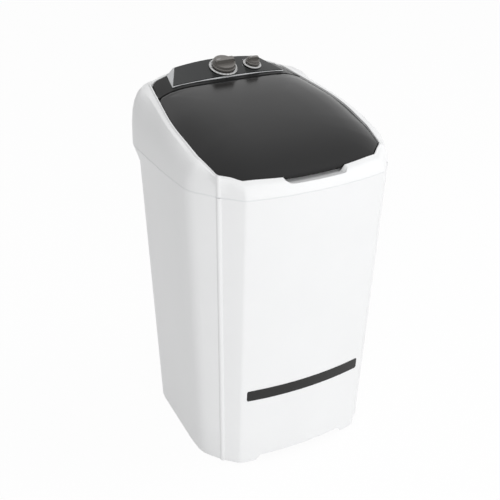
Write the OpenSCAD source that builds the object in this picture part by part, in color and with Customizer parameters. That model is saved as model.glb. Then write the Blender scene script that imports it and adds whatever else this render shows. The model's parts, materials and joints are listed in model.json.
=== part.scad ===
/* [Overall size] */
// Width across the sides at the seam
body_w = 536; // [526:1:548]
// Depth from the front panel to the rear lip of the cover
body_d = 560; // [554:1:572]
// Height of the seam between the cabinet and the top cover
seam_z = 753; // [745:1:765]
// Width of the cabinet at floor level
floor_w = 470; // [462:1:480]
// How far the foot of the front panel lies behind its top
front_rake = 61; // [54:1:64]
// Step from the rear wall out to the rear lip of the cover
rear_step = 8; // [6:1:10]

/* [Plan shape] */
// Radius of the bowed front panel, seen from above
bow_r = 808; // [760:4:860]
// Radius of the two rear corners
rear_corner_r = 128; // [118:2:134]
// Run of the bevelled front corner, inward from the side
bevel_in = 85; // [80:1:90]
// Distance of the ridge inward from the side
ridge_in = 44; // [41:1:47]
// Distance of the ridge behind the front
ridge_back = 70; // [67:1:74]
// How much the side draws in towards the rear corner
rear_narrowing = 27.5; // [22:0.5:30]
// Width of the bead that runs up each front corner
bead_w = 14; // [12:0.5:16]
// Height of that bead
bead_h = 3.5; // [2.5:0.5:4.5]

/* [Cabinet] */
// Thickness of the moulded walls
wall = 3; // [2.6:0.1:3.4]
// Gap under the cabinet's lower edge
cabinet_lift = 5; // [4:0.5:7]
// Half width of the arch under the front panel
arch_half_w = 118; // [108:1:124]
// Height of the arch above the cabinet's lower edge
arch_h = 14; // [10:1:17]
// Half width of the dark strip on the front
strip_half_w = 160; // [150:1:164]
// Height of the strip
strip_h = 30; // [24:1:36]
// Height of the strip's centre above the floor
strip_z = 216; // [200:1:240]
// Depth of the recess that holds the strip
strip_recess = 1.8; // [1.4:0.1:2]

/* [Top cover] */
// Height of the rim above the seam at the front
rim_front_h = 27; // [25:0.5:29]
// Rise of the rim from the front to the rear
rim_rise = 107.5; // [104:0.5:110]
// Extra height of the rim's arch part way along
rim_arch = 24; // [20:1:26]
// Depth of the shallow dip in the rim behind the front
rim_dip = 23; // [20:1:25]
// Distance of the rim behind the front of the cover
rim_front_in = 36; // [34:1:39]
// Distance of the rim inward from the side
rim_side_in = 40; // [38:1:44]
// Distance of the rim ahead of the rear lip
rim_rear_in = 48; // [46:1:52]
// Fullness of the shoulder along the sides: 1 is flat, 2 is an ellipse
side_fullness = 2.1; // [1.9:0.1:2.5]
// Fullness of the shoulder at the two rear corners
corner_fullness = 2.9; // [2.5:0.1:3.3]
// Fullness of the shoulder at the front
front_fullness = 1.6; // [1.4:0.1:1.8]
// Height of the rim bead above the lid's edge
rim_bead = 2.2; // [1.4:0.2:2.8]
// Depth of the recess in which the lid lies
recess_drop = 11; // [10:0.5:13]
// Width of the ledge under the lid's edge
ledge_w = 16; // [14:1:18]
// Half width of the finger recess at the lid's edge
finger_half_w = 77; // [70:1:84]
// Depth of the finger recess below the rim
finger_drop = 15; // [12:1:17]

/* [Lid] */
// Height of the lid's pillow shape, and of the deck's rise, above the rim
crown_h = 25; // [21:1:26]
// Thickness of the lid
lid_t = 3; // [2.6:0.1:3.4]
// Gap between the lid's edge and the rim
lid_gap = 1; // [0.8:0.1:1.6]
// Gap between the lid's rear edge and the deck
deck_gap = 2.6; // [2.4:0.1:4]
// Distance of the lid's rear edge ahead of the rear lip
lid_rear_in = 133; // [132:1:136]
// Distance of the hinge axis ahead of the lid's rear edge
hinge_in = 20; // [19:0.5:21]
// Radius of the hinge pins
hinge_pin_r = 3; // [2.5:0.1:3.5]
// Distance of the hinge lugs from the centre line
hinge_x = 100; // [80:1:110]
// How far the lid opens, in degrees
lid_swing = 95; // [80:1:95]

/* [Console] */
// Width of the console at its front edge
console_w = 314; // [306:1:320]
// Width of the console's top at its rear edge
console_top_w = 240; // [230:1:252]
// Depth of the console's sloping face
console_d = 75; // [73:1:77]
// Rise of the face from front to rear at the centre line
console_rise = 29; // [26:1:30]
// Height of the console's front edge above the rim beside it
console_lift = 24.5; // [23.5:0.5:26]
// Thickness of the dark fascia
fascia_t = 1.6; // [1.2:0.1:2]
// Radius of the bezel round the timer knob
timer_ring_r = 37; // [35:0.5:39]
// Radius of the timer knob
timer_r = 30; // [28:0.5:31.5]
// Height of the timer knob
timer_h = 21; // [18:0.5:23]
// Radius of the bezel round the selector knob
selector_ring_r = 24; // [22:0.5:26]
// Radius of the selector knob
selector_r = 18; // [16:0.5:19.5]
// Height of the selector knob
selector_h = 17; // [15:0.5:20]
// Distance of the selector from the timer
selector_x = 83; // [78:1:88]

/* [Wash tub] */
// Inner radius of the tub at its mouth
mouth_r = 208; // [204:1:212]
// Inner radius of the tub just above its floor
tub_floor_r = 192; // [188:1:196]
// Depth of the tub below the seam
tub_depth = 463; // [455:1:470]
// Thickness of the tub's wall
tub_wall = 3; // [2.6:0.1:3.4]
// Radius between the tub's wall and floor
tub_fillet = 40; // [34:1:44]
// Distance of the tub's axis ahead of the middle
tub_ahead = 25; // [20:1:28]
// Number of vertical wash ribs
rib_count = 7; // [5:1:9]
// Radius of the wash ribs
rib_r = 5; // [4:0.5:6]

/* [Pulsator and shaft] */
// Radius of the pulsator
pulsator_r = 115; // [108:1:118]
// Number of vanes on the pulsator
vane_count = 4; // [3:1:6]
// Height of the vanes above the disc
vane_h = 34; // [26:1:40]
// Radius of the drive shaft
shaft_r = 7; // [6:0.25:8]
// Radial running clearance of the shafts
run_fit = 0.05; // [0.03:0.01:0.08]
// Length of the bearing housing's tube
housing_len = 82; // [78:1:88]

/* [Belt drive] */
// Outer radius of the driven pulley
driven_r = 92; // [86:1:94]
// Outer radius of the motor pulley
motor_pulley_r = 21; // [20:0.5:23]
// Distance between the two shafts
shaft_gap = 152; // [150:1:156]
// Width of the belt
belt_w = 10; // [9:0.5:11]
// Thickness of the belt
belt_t = 7; // [6:0.5:8]
// Radius of the motor
motor_r = 54; // [50:1:56]
// Length of the motor's body between its end bells
motor_len = 44; // [40:1:46]
// Radius of the motor shaft
motor_shaft_r = 5; // [4.5:0.25:6]

/* [Base and drain] */
// Radius of the rubber feet
foot_r = 18; // [16:0.5:20]
// Radius of the drain spigot
spigot_r = 12.5; // [11.5:0.25:13]
// Length of the spigot's free end
spigot_len = 30; // [26:1:32]
// Drop from the tub's floor to the centre of the drain outlet
drain_drop = 62; // [56:1:68]
// Height of the cord gland above the floor
gland_z = 95; // [80:1:110]
// Bore of the cord gland, as a radius
gland_bore_r = 4; // [3.5:0.25:4.5]

/* [Hidden] */
$fn = 48;

fit = 0.3;
seam_lap = 0.6;
front_y = -body_d / 2;
rear_lip_y = body_d / 2;
rear_y = rear_lip_y - rear_step;
half_w = body_w / 2;
floor_half = floor_w / 2;
floor_front = front_y + front_rake;
flare_h = 41;
flare_z = seam_z - flare_h;

rim_front_y = front_y + rim_front_in;
rim_rear_y = rear_lip_y - rim_rear_in;
rim_half = half_w - rim_side_in;
rim_len = rim_rear_y - rim_front_y;
rim_front_z = seam_z + rim_front_h;
rim_taper = 0.187;
lid_rear_y = rear_lip_y - lid_rear_in;
hinge_y = lid_rear_y - hinge_in;
deck_front_y = lid_rear_y + deck_gap;
opening_rear_y = hinge_y - 18;

tub_y = -tub_ahead;
tub_floor_z = seam_z - tub_depth;
well_depth = 12;
well_r = pulsator_r + 6;
well_z = tub_floor_z - well_depth;
tub_under_z = well_z - tub_wall;
flange_t = 3;

function unit(v) = v / norm(v);
function mix(a, b, t) = a + (b - a) * t;
function mix_all(a, b, t) = [for (i = [0 : len(a) - 1]) mix(a[i], b[i], t)];
function clamp01(t) = min(1, max(0, t));
function ease(t) = let (c = clamp01(t)) c * c * (3 - 2 * c);
function lift(pts, z) = [for (p = pts) [p.x, p.y, z]];
function mirrored(half) = concat(half, [for (k = [len(half) - 2 : -1 : 1]) [-half[k].x, half[k].y]]);

// Arc of radius r that rounds the corner v between a and b
function fillet(a, v, b, r, n) =
    let (u = unit(a - v), w = unit(b - v), half = acos(u * w) / 2,
        c = v + unit(u + w) * r / sin(half), p = v + u * r / tan(half) - c,
        turn = sign(w.x * u.y - w.y * u.x) * (180 - 2 * half))
    [for (k = [0 : n]) let (g = turn * k / n)
        c + [p.x * cos(g) - p.y * sin(g), p.x * sin(g) + p.y * cos(g)]];

// Raised bead of half-cosine section on the corner v
function bead_points(a, v, b, h) =
    let (t = unit(b - a), out = [t.y, -t.x])
    [for (k = [-3 : 3]) v + t * k * bead_w / 6 + out * h * cos(k * 30)];

// Ring moved inward by d
function inset(pts, d) =
    let (n = len(pts))
    [for (i = [0 : n - 1])
        let (t = unit(pts[(i + 1) % n] - pts[(i + n - 1) % n])) pts[i] + [-t.y, t.x] * d];

function bow_y(front, x) = front + bow_r - sqrt(bow_r * bow_r - x * x);

// Radius of the blend at v4 that takes up its share of the side's straight length
side_share = 0.45;
function side_blend(v3, v4, v5) =
    let (half = acos(unit(v3 - v4) * unit(v5 - v4)) / 2)
    side_share * min(norm(v4 - v3), norm(v5 - v4)) * tan(half);

// Closed outline seen from above: bowed front, bevel, ridge, side and rear corner
bow_steps = 14;
function outline(front, x1, v2, v3, v4, v5, r5, bead = 0, r2 = 0) =
    let (v1 = [x1, bow_y(front, x1)], before = [x1 - 30, bow_y(front, x1 - 30)], bow_end = x1 - 12,
        bow = [for (k = [0 : bow_steps]) let (x = bow_end * k / bow_steps) [x, bow_y(front, x)]],
        ridge = r2 > 0 ? fillet(v1, v2, v3, r2, 6) : bead_points(v1, v2, v3, bead),
        c3 = fillet(v2, v3, v4, 80, 4), c4 = fillet(v3, v4, v5, side_blend(v3, v4, v5), 4),
        c5 = fillet(v4, v5, [0, v5.y], r5, 8))
    mirrored(concat(bow, fillet(before, v1, v2, 12, 2), [mix(v1, v2, 0.5)], ridge,
        [mix(ridge[6], c3[0], 0.5)], c3, c4, [mix(c4[4], c5[0], 0.33), mix(c4[4], c5[0], 0.67)], c5,
        [for (k = [0.9, 0.78, 0.62, 0.42, 0.2, 0]) [c5[8].x * k, v5.y]]));

side_start = 139;
side_end = 259;
floor_scale = 0.75;
floor_side_end = 159;
lip_narrowing = rear_narrowing - 11.5;
lip_corner_r = rear_corner_r - 18;
function seam_outline(bead, v5, r5) =
    outline(front_y, half_w - bevel_in, [half_w - ridge_in, front_y + ridge_back],
        [half_w, front_y + side_start], [half_w, front_y + side_end], v5, r5, bead);
function wall_outline(bead) = seam_outline(bead, [half_w - rear_narrowing, rear_y], rear_corner_r);
function lip_outline(bead) = seam_outline(bead, [half_w - lip_narrowing, rear_lip_y], lip_corner_r);
function floor_outline(bead) =
    outline(floor_front, floor_half - bevel_in * floor_scale,
        [floor_half - ridge_in * floor_scale, floor_front + ridge_back * floor_scale],
        [floor_half, floor_front + side_start * floor_scale], [floor_half, floor_front + floor_side_end],
        [floor_half - rear_narrowing, rear_y], rear_corner_r, bead);

// Cabinet ring at height z, with the flare under the rear lip
function cabinet_plan(z, bead) =
    let (straight = mix_all(floor_outline(bead), wall_outline(bead), z / seam_z))
    z <= flare_z ? straight : mix_all(straight, lip_outline(bead), (z - flare_z) / flare_h);

// Height of the rim along the sides, and of the pillow shape inside it
deck_rise = crown_h - 5;
function rim_t(y) = (y - rim_front_y) / rim_len;
function rim_z(y) =
    let (t = clamp01(rim_t(y)))
    rim_front_z + (rim_rise + rim_dip) * t + rim_arch * sin(180 * pow(t, 0.63))
        + rim_dip * (exp(-27 * t) - 1);
function across(x, y) = pow(abs(x) / (rim_half - 6 - max(0, rim_taper * (y - 20))), 6);
function lid_z(x, y) =
    let (along = (y - (rim_front_y + lid_rear_y) / 2) / ((lid_rear_y - rim_front_y) / 2 - 2))
    rim_z(y) + mix(crown_h, deck_rise, pow(clamp01(along), 4))
        * max(0, 1 - across(x, y) - pow(max(0, -along), 6));
function deck_z(x, y) = rim_z(y) + deck_rise * max(0, 1 - across(x, y));
function top_z(x, y) = y > deck_front_y ? deck_z(x, y) : lid_z(x, y);

rim_rear_half = rim_half - rim_taper * (rim_rear_y - 10);
function rim_line(rear_y, rear_r) =
    outline(rim_front_y, rim_half - 54, [rim_half - 13, rim_front_y + 56],
        [rim_half - 3, rim_front_y + 124], [rim_half, rim_front_y + 254],
        [rim_half - rim_taper * (rear_y - 10), rear_y], rear_r, r2 = 20);
opening_line =
    outline(rim_front_y + ledge_w, rim_half - 68, [rim_half - 30, rim_front_y + 68],
        [rim_half - ledge_w, rim_front_y + 129], [rim_half - ledge_w, rim_front_y + 244],
        [rim_half - ledge_w - 26, opening_rear_y], 30, r2 = 26);
function round_mouth(pts, r) =
    [for (p = pts) [0, tub_y] + unit(p - [0, tub_y]) * r];

// Skin over a stack of rings; a closed stack joins its last ring to its first
function ring_sides(n, m, last) =
    [for (j = [0 : last]) for (i = [0 : n - 1])
        let (a = j * n + i, b = j * n + (i + 1) % n, up = ((j + 1) % m) * n,
            c = up + (i + 1) % n, d = up + i)
        each i < n / 2 ? [[a, c, b], [a, d, c]] : [[a, d, b], [b, d, c]]];
module loop_skin(rings) {
    m = len(rings);
    polyhedron([for (r = rings) each r], ring_sides(len(rings[0]), m, m - 1), convexity = 10);
}

// Skin with a point that closes each end; the middle of the end ring when none is given
function middle(pts) = [for (k = [0 : 2]) [for (p = pts) p[k]] * [for (p = pts) 1 / len(pts)]];
module skin(rings, low = undef, high = undef) {
    n = len(rings[0]);
    m = len(rings);
    ends = [is_undef(low) ? middle(rings[0]) : low, is_undef(high) ? middle(rings[m - 1]) : high];
    fans = [for (i = [0 : n - 1]) let (k = (i + 1) % n)
        each [[m * n, i, k], [m * n + 1, (m - 1) * n + k, (m - 1) * n + i]]];
    polyhedron(concat([for (r = rings) each r], ends), concat(ring_sides(n, m, m - 2), fans),
        convexity = 10);
}

module tube(r_out, r_in, h) {
    difference() {
        cylinder(r = r_out, h = h);
        translate([0, 0, -1]) cylinder(r = r_in, h = h + 2);
    }
}

// Round-cornered plate bent to the bowed front, between heights z0 and z1 and depths d0 and d1
module bowed_plate(half, z0, z1, d0, d1) {
    r = 5;
    ends = [for (k = [0 : 4]) half - r + r * cos(k * 22.5)];
    stations = concat(ends, [for (k = [1 : 13]) (half - r) * (1 - k / 7)],
        [for (k = [3 : -1 : 0]) -ends[k]]);
    function face(x, z, d) = [x, bow_y(mix(floor_front, front_y, z / seam_z), x) + d, z];
    function cut(x) = r - sqrt(max(0, r * r - pow(max(0, abs(x) - half + r), 2)));
    skin([for (x = stations) let (c = cut(x))
        [face(x, z0 + c, d0), face(x, z1 - c, d0), face(x, z1 - c, d1), face(x, z0 + c, d1)]]);
}

cabinet_top_z = seam_z - flange_t;
module cabinet() {
    outer = [for (z = [cabinet_lift, flare_z, cabinet_top_z]) lift(cabinet_plan(z, bead_h), z)];
    inner = [for (z = [cabinet_top_z, flare_z, cabinet_lift])
        lift(inset(cabinet_plan(z, 0), wall), z)];
    color("white") difference() {
        loop_skin(concat(outer, inner));
        front_arch();
        bowed_plate(strip_half_w + fit, strip_z - strip_h / 2 - fit, strip_z + strip_h / 2 + fit,
            -4, strip_recess);
        drain_window();
        translate([gland_x, rear_y + 5, gland_z])
            rotate([90, 0, 0]) cylinder(r = gland_neck_r + fit, h = 20);
    }
}

module front_arch() {
    rise = 12;
    low = cabinet_lift - 2;
    top = cabinet_lift + arch_h;
    profile = [[-arch_half_w - rise, low], [arch_half_w + rise, low],
        each fillet([arch_half_w + rise, low], [arch_half_w, top], [0, top], 8, 5),
        each fillet([0, top], [-arch_half_w, top], [-arch_half_w - rise, low], 8, 5)];
    translate([0, floor_front + 40, 0]) rotate([90, 0, 0]) linear_extrude(60) polygon(profile);
}

module front_strip() {
    color([0.25, 0.25, 0.26])
        bowed_plate(strip_half_w, strip_z - strip_h / 2, strip_z + strip_h / 2,
            strip_recess - 2.4, strip_recess - 0.15);
}

frame_z = 26;
frame_t = 7;
foot_x = floor_half - 78;
foot_front_y = floor_front + 58;
foot_rear_y = rear_y - 72;
foot_places = [for (y = [foot_front_y, foot_rear_y]) each [[-foot_x, y], [foot_x, y]]];
foot_stem_r = 6;
capacitor_r = 20;
capacitor_place = [-70, tub_y + 110];
module base_frame() {
    edge = inset(cabinet_plan(frame_z, 0), wall + fit);
    bar_y = capacitor_place.y;
    color([0.75, 0.75, 0.77]) difference() {
        union() {
            translate([0, 0, frame_z]) linear_extrude(frame_t) polygon(edge);
            for (p = foot_places) translate([p.x, p.y, cabinet_lift])
                cylinder(r = foot_r + 2, h = frame_z - cabinet_lift + 1);
        }
        frame_window(-foot_x + 8, foot_front_y + 34, foot_x - 8, bar_y - 30);
        frame_window(-foot_x + 8, bar_y + 30, foot_x - 8, foot_rear_y + 30);
        for (p = foot_places) translate([p.x, p.y, 0]) cylinder(r = foot_stem_r + fit, h = frame_z);
    }
}

module frame_window(x0, y0, x1, y1) {
    r = 18;
    corners = [[x0, y0], [x1, y0], [x1, y1], [x0, y1]];
    rounded = [for (k = [0 : 3])
        each fillet(corners[(k + 3) % 4], corners[k], corners[(k + 1) % 4], r, 6)];
    translate([0, 0, frame_z - 1]) linear_extrude(frame_t + 2) polygon(rounded);
}

module foot(p) {
    color([0.2, 0.2, 0.2]) translate([p.x, p.y, 0]) {
        rotate_extrude()
            polygon([[0, 0], [foot_r - 1.5, 0], [foot_r, 1.5], [foot_r, cabinet_lift], [0, cabinet_lift]]);
        translate([0, 0, cabinet_lift]) cylinder(r = foot_stem_r, h = frame_z - cabinet_lift - 2);
    }
}

// Section of the tub's wall and floor, shifted outward by d
tub_lip_r = mouth_r + tub_wall;
sump_r = (well_r + tub_floor_r - tub_fillet) / 2 + 6;
sump_place = [0, tub_y] + sump_r * [-cos(62), sin(62)];
sump_bore_r = spigot_r - 3;
spout_z = tub_floor_z - 30;
drain_z = tub_floor_z - drain_drop;
function tub_side(d) =
    [[mouth_r + d, seam_z], each fillet([mouth_r + d, seam_z], [tub_floor_r + d, tub_floor_z - d],
        [0, tub_floor_z - d], tub_fillet, 8), [well_r + 6 + d, tub_floor_z - d], [well_r + d, well_z - d]];
function tub_profile() = concat(tub_side(0),
    [[housing_boss_r + fit, well_z], [housing_boss_r + fit, tub_under_z]], reverse(tub_side(tub_wall)));
module wash_tub() {
    color([0.93, 0.93, 0.94]) difference() {
        union() {
            translate([0, tub_y, 0]) rotate_extrude($fn = 96) polygon(tub_profile());
            tub_flange();
            translate([0, tub_y, 0]) for (k = [1 : rib_count])
                rotate(180 + k * 360 / (rib_count + 1)) wash_rib();
            filter_rails();
            translate([sump_place.x, sump_place.y, spout_z])
                cylinder(r = spigot_r, h = tub_floor_z - spout_z - 1);
            for (p = pillar_places) translate([p.x, p.y, bracket_z + bracket_t])
                cylinder(r = 8, h = tub_floor_z - bracket_z - bracket_t - 1);
        }
        translate([sump_place.x, sump_place.y, spout_z - 1])
            cylinder(r = sump_bore_r, h = tub_floor_z - spout_z + 10);
        for (p = pillar_places) translate([p.x, p.y, bracket_z]) cylinder(r = 2.4, h = 18);
    }
}
function reverse(pts) = [for (k = [len(pts) - 1 : -1 : 0]) pts[k]];

module tub_flange() {
    translate([0, 0, seam_z - flange_t]) linear_extrude(flange_t) difference() {
        polygon(inset(cabinet_plan(cabinet_top_z, 0), seam_lap));
        translate([0, tub_y]) circle(r = mouth_r + 1.5, $fn = 96);
    }
}

tub_lean = atan2(mouth_r - tub_floor_r, tub_depth);
module wash_rib() {
    low = tub_floor_z + tub_fillet + 8;
    h = seam_z - 60 - low;
    soft = rib_r * 0.4;
    r_low = tub_floor_r + (low - tub_floor_z) * tan(tub_lean);
    translate([r_low + 0.1, 0, low]) rotate([0, tub_lean, 0]) rotate_extrude()
        polygon([[0, 0], [rib_r - soft, 0], [rib_r, 2 * soft], [rib_r, h - 2 * soft],
            [rib_r - soft, h], [0, h]]);
}

filter_half_w = 42;
filter_h = 150;
filter_t = 4;
filter_top_z = seam_z - 22;
filter_x = -(mouth_r - 15);
rail_depth = 5;
module filter_rails() {
    low = filter_top_z - filter_h;
    intersection() {
        translate([0, tub_y, 0]) union() {
            for (s = [-1, 1]) mirror([0, s < 0 ? 1 : 0, 0]) difference() {
                translate([-mouth_r - 2, filter_half_w - rail_depth, low - 6]) cube([25, 12, filter_h + 6]);
                translate([filter_x - filter_t / 2 - fit, filter_half_w - rail_depth - 1, low - fit])
                    cube([filter_t + 2 * fit, rail_depth + 1 + fit, filter_h + 10]);
            }
        }
        translate([0, tub_y, tub_floor_z])
            cylinder(r1 = tub_floor_r + 1.2, r2 = mouth_r + 1.2, h = tub_depth, $fn = 96);
    }
}

module lint_filter() {
    bars = 9;
    rows = 14;
    low = filter_top_z - filter_h;
    frame = 7;
    span = 2 * (filter_half_w - frame);
    color([0.55, 0.72, 0.85]) translate([filter_x - filter_t / 2, tub_y, low]) {
        difference() {
            translate([0, -filter_half_w, 0]) cube([filter_t, 2 * filter_half_w, filter_h]);
            translate([-1, -span / 2, frame]) cube([filter_t + 2, span, filter_h - 2 * frame - 8]);
        }
        for (k = [1 : bars - 1]) translate([1.2, -span / 2 + k * span / bars - 0.5, frame - 1])
            cube([1.2, 1, filter_h - 2 * frame - 6]);
        for (k = [1 : rows - 1])
            translate([2, -span / 2 - 1, frame + k * (filter_h - 2 * frame - 8) / rows - 0.5])
                cube([1.2, span + 2, 1]);
    }
}

module drain_strainer() {
    color([0.75, 0.76, 0.78]) translate([sump_place.x, sump_place.y, tub_floor_z]) difference() {
        union() {
            translate([0, 0, 0.1]) cylinder(r = sump_bore_r + 2, h = 1.6);
            translate([0, 0, -8]) tube(sump_bore_r - fit, sump_bore_r - 1.8, 8.5);
        }
        for (k = [0 : 5]) rotate(k * 60) translate([5.2, 0, -1]) cylinder(r = 1.6, h = 4);
        translate([0, 0, -1]) cylinder(r = 1.8, h = 4);
    }
}

// Drive line heights, from the tub's underside down
housing_flange_t = 7;
bracket_t = 3;
bracket_z = tub_under_z - housing_flange_t - bracket_t;
housing_low_z = tub_under_z - housing_flange_t - housing_len;
housing_boss_r = 20;
housing_tube_r = 22;
seal_r = 14;
bush_r = 12;
bush_h = 20;
pulley_h = 18;
pulley_top_z = housing_low_z - 1;
belt_z = pulley_top_z - 2 - pulley_h / 2;
disc_z = well_z + 4;
disc_t = 6;
hub_top_z = disc_z + 22;

module pulsator() {
    color([0.30, 0.45, 0.62]) translate([0, tub_y, 0]) difference() {
        union() {
            rotate_extrude($fn = 96)
                polygon([[0, disc_z], [pulsator_r - 4, disc_z], [pulsator_r, disc_z + 3],
                    [pulsator_r, disc_z + 6], [pulsator_r - 3, disc_z + 9], [60, disc_z + disc_t + 2],
                    [30, disc_z + disc_t + 8], [22, hub_top_z], [0, hub_top_z]]);
            for (k = [0 : vane_count - 1]) rotate(k * 360 / vane_count) vane();
        }
        translate([0, 0, disc_z - 1]) cylinder(r = shaft_r + 0.02, h = 40);
        for (k = [0 : 2 * vane_count - 1]) rotate((k + 0.5) * 180 / vane_count)
            translate([pulsator_r - 26, 0, disc_z - 1]) cylinder(r = 4, h = 30);
    }
}

// Curved vane that stands on the disc and slopes down to the rim
module vane() {
    bend_r = 90;
    thick = 9;
    intersection() {
        translate([0, -bend_r, disc_z + 4]) difference() {
            cylinder(r = bend_r + thick / 2, h = vane_h + 4, $fn = 96);
            translate([0, 0, -1]) cylinder(r = bend_r - thick / 2, h = vane_h + 6, $fn = 96);
        }
        rotate_extrude($fn = 96) polygon([[16, disc_z], [pulsator_r - 6, disc_z + 5],
            [pulsator_r - 12, disc_z + 12], [50, disc_z + vane_h - 4], [30, disc_z + vane_h],
            [16, disc_z + vane_h]]);
        translate([0, -bend_r, disc_z]) cube([pulsator_r, 2 * bend_r, vane_h + 10]);
    }
}

module pulsator_cap() {
    color([0.8, 0.8, 0.82]) translate([0, tub_y, hub_top_z]) {
        rotate_extrude() polygon([[0, 0], [13, 0], [13, 2], [10, 6], [0, 8]]);
    }
}

module drive_shaft() {
    low = belt_z - pulley_h / 2 - 14;
    color([0.7, 0.7, 0.72]) translate([0, tub_y, low]) cylinder(r = shaft_r, h = hub_top_z - low - 0.1);
}

module shaft_seal() {
    color([0.15, 0.15, 0.15]) translate([0, tub_y, well_z - 5])
        tube(seal_r - 0.02, shaft_r + run_fit, 6.5);
}

module bush(z) {
    color([0.72, 0.55, 0.3]) translate([0, tub_y, z]) tube(bush_r - 0.02, shaft_r + run_fit, bush_h);
}

screw_ring_r = 44;
housing_flange_r = 54;
module four_round(r) {
    for (k = [0 : 3]) rotate(45 + k * 90) translate([r, 0, 0]) children();
}
module bearing_housing() {
    tube_h = housing_len + housing_flange_t;
    color([0.62, 0.63, 0.65]) translate([0, tub_y, housing_low_z]) difference() {
        union() {
            cylinder(r = housing_tube_r, h = tube_h);
            translate([0, 0, housing_len]) cylinder(r = housing_flange_r, h = housing_flange_t);
            translate([0, 0, tube_h - 1]) cylinder(r = housing_boss_r, h = tub_wall + 3);
        }
        translate([0, 0, -1]) cylinder(r = bush_r, h = tube_h + 10);
        translate([0, 0, tube_h - 3 + tub_wall - 2]) cylinder(r = seal_r, h = 12);
        translate([0, 0, housing_len - 1])
            four_round(screw_ring_r) cylinder(r = 2.6, h = housing_flange_t + 2);
    }
}

module housing_screws() {
    color([0.8, 0.8, 0.82]) translate([0, tub_y, bracket_z]) four_round(screw_ring_r) {
        translate([0, 0, -4]) cylinder(r = 4.6, h = 4, $fn = 6);
        translate([0, 0, -0.5]) cylinder(r = 2.4, h = bracket_t + housing_flange_t + 0.3);
    }
}

// Pulley with a belt groove, a web with round windows and a bored hub
groove_depth = belt_t + 2;
groove_slope = 1.6;
module pulley(r, bore, hub_r, windows) {
    half_h = pulley_h / 2;
    half_belt = belt_w / 2 + fit;
    low_r = r - groove_depth;
    difference() {
        rotate_extrude($fn = 96) polygon([[0, -half_h], [r, -half_h], [r, -half_belt],
            [low_r, groove_slope - half_belt], [low_r, half_belt - groove_slope], [r, half_belt],
            [r, half_h], [0, half_h]]);
        translate([0, 0, -half_h - 1]) cylinder(r = bore, h = pulley_h + 2);
        if (windows > 0) {
            for (s = [-1, 1]) translate([0, 0, s * (half_h + 2)]) web_recess(r - groove_depth - 5, hub_r);
            for (k = [0 : windows - 1]) rotate(k * 360 / windows)
                translate([(r - groove_depth - 5 + hub_r) / 2, 0, -half_h]) cylinder(r = 15, h = pulley_h);
        }
    }
}

module web_recess(r_out, r_in) {
    translate([0, 0, -7]) difference() {
        cylinder(r = r_out, h = 14);
        translate([0, 0, -1]) cylinder(r = r_in, h = 16);
    }
}

module driven_pulley() {
    color([0.35, 0.35, 0.37]) translate([0, tub_y, belt_z]) pulley(driven_r, shaft_r + 0.02, 17, 5);
}

module pulley_nut() {
    nut_h = 8;
    color([0.8, 0.8, 0.82]) translate([0, tub_y, belt_z - pulley_h / 2 - nut_h]) difference() {
        cylinder(r = 12, h = nut_h, $fn = 6);
        translate([0, 0, -1]) cylinder(r = shaft_r + 0.02, h = nut_h + 2);
    }
}

// Belt: two arcs and two straight runs, whose ends reach a little way into the arcs
belt_out = driven_r - 0.8;
belt_out_small = motor_pulley_r - 0.8;
belt_lean = asin((belt_out - belt_out_small) / shaft_gap);
run_lap = 0.6;
function belt_section(r, e = 0) =
    let (low = belt_w / 2 - groove_slope - e, high = belt_w / 2 - e)
    [[r - belt_t + e, -low], [r - e, -high], [r - e, high], [r - belt_t + e, low]];
module drive_belt() {
    run = shaft_gap * cos(belt_lean);
    wide = 180 + 2 * belt_lean;
    color([0.1, 0.1, 0.1]) translate([0, tub_y, belt_z]) {
        rotate(180 - wide / 2) rotate_extrude(angle = wide, $fn = 96) polygon(belt_section(belt_out));
        translate([shaft_gap, 0, 0]) rotate(-90 + belt_lean)
            rotate_extrude(angle = 360 - wide, $fn = 96) polygon(belt_section(belt_out_small));
        for (s = [-1, 1]) mirror([0, s < 0 ? 1 : 0, 0]) rotate(90 - belt_lean) rotate([90, 0, 0])
            translate([0, 0, -run_lap]) linear_extrude(run + 2 * run_lap)
                polygon(belt_section(belt_out, 0.02));
    }
}

motor_place = [shaft_gap, tub_y];
pillar_places = [for (s = [-1, 1]) [0, tub_y] + (tub_floor_r - tub_fillet - 3) * [cos(32), s * sin(32)]];
grommet_ring_r = 38;
grommet_r = 8;
grommet_h = 6;
bell_h = 14;
motor_top_z = bracket_z - grommet_h;
motor_low_z = motor_top_z - motor_len - 2 * bell_h;
bracket_end = motor_place.x + motor_r - 4;
bracket_half = housing_flange_r + 4;
bracket_reach = pillar_places[1].y - tub_y + 21;
module motor_bracket() {
    half = [[-bracket_half, bracket_half], [bracket_half + 2, bracket_half + 8],
        [bracket_end - 30, bracket_reach], [bracket_end, bracket_half + 2]];
    corners = concat([for (p = half) [p.x, -p.y]], reverse(half));
    rounded = [for (k = [0 : 7])
        each fillet(corners[(k + 7) % 8], corners[k], corners[(k + 1) % 8], 14, 4)];
    color([0.68, 0.69, 0.7]) translate([0, tub_y, bracket_z]) difference() {
        linear_extrude(bracket_t) polygon(rounded);
        translate([0, 0, -1]) cylinder(r = housing_tube_r + fit, h = bracket_t + 2);
        translate([0, 0, -1]) four_round(screw_ring_r) cylinder(r = 2.6, h = bracket_t + 2);
        translate([motor_place.x, 0, -1]) {
            cylinder(r = 22, h = bracket_t + 2);
            four_round(grommet_ring_r) cylinder(r = 3.2, h = bracket_t + 2);
        }
        for (p = pillar_places) translate([p.x, p.y - tub_y, -1]) cylinder(r = 2.6, h = bracket_t + 2);
    }
}

module motor_grommets() {
    color([0.15, 0.15, 0.15]) translate([motor_place.x, motor_place.y, motor_top_z])
        four_round(grommet_ring_r) tube(grommet_r, 3.2, grommet_h);
}

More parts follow.
